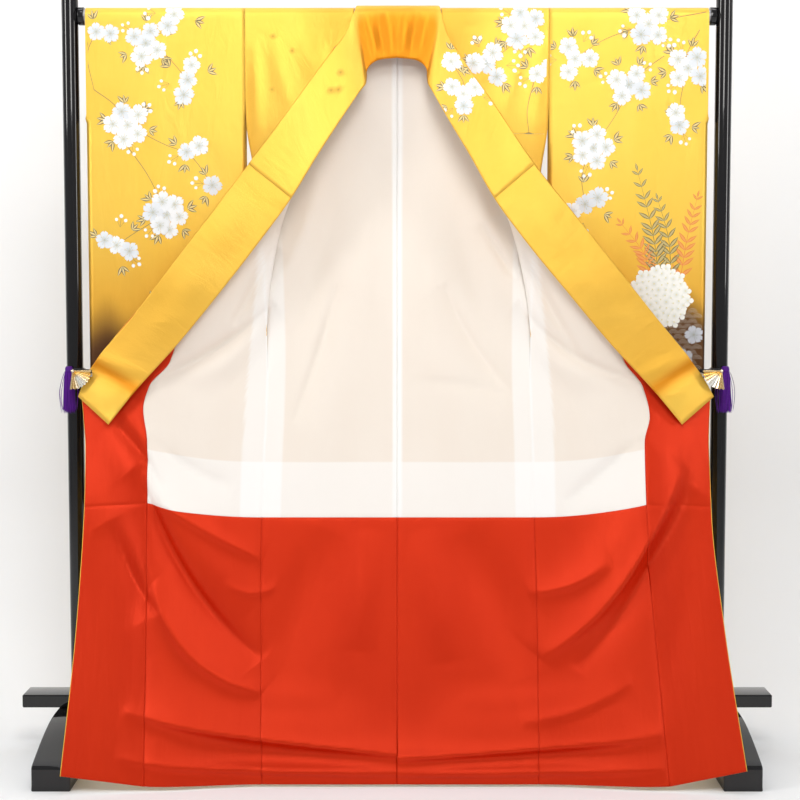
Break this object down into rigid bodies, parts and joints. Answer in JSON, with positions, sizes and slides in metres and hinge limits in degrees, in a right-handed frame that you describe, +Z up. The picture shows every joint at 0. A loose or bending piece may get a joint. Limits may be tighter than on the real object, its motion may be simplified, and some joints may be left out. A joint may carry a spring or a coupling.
{
  "type": "furisode kimono on kimono stand",
  "caption": "Long-sleeved kimono hung opened over the rod of a lacquered kimono stand, its collar ends clipped to the posts so that the lining shows.",
  "frame": {"origin": "on the floor, at the bottom centre of the whole part, under the stand's rod", "axes": "+Z up, -Y out of the opened front of the kimono, +X along the rod to the right as seen from the front"},
  "size_m": [1.614, 0.5962, 1.65],
  "materials": {
    "yellow_satin": "glossy silk satin",
    "white_lining": "matte silk",
    "red_lining": "matte silk",
    "lacquer": "glossy black lacquer",
    "steel": "satin",
    "strap": "black elastic band",
    "gold": "polished gold",
    "purple_thread": "silk thread"
  },
  "bodies": {
    "root": {"body_left": "yellow_satin", "body_right": "yellow_satin", "okumi_left": "yellow_satin", "okumi_right": "yellow_satin", "sleeve_left": "yellow_satin", "sleeve_right": "yellow_satin", "collar": "yellow_satin", "over_collar": "yellow_satin", "lining_left": "white_lining", "lining_right": "white_lining", "hem_back_left": "red_lining", "hem_back_right": "red_lining", "hem_front_left": "red_lining", "hem_front_right": "red_lining", "hem_okumi_left": "red_lining", "hem_okumi_right": "red_lining", "crossbar": "lacquer", "foot_left": "lacquer", "foot_right": "lacquer", "post_left": "lacquer", "post_right": "lacquer", "rod_socket_left": "lacquer", "rod_socket_right": "lacquer", "rod": "steel", "strap_left": "strap", "strap_right": "strap", "clip_left": "gold", "clip_right": "gold", "fan_left": "gold", "fan_right": "gold", "tassel_left": "purple_thread", "tassel_right": "purple_thread"}
  },
  "joints": []
}
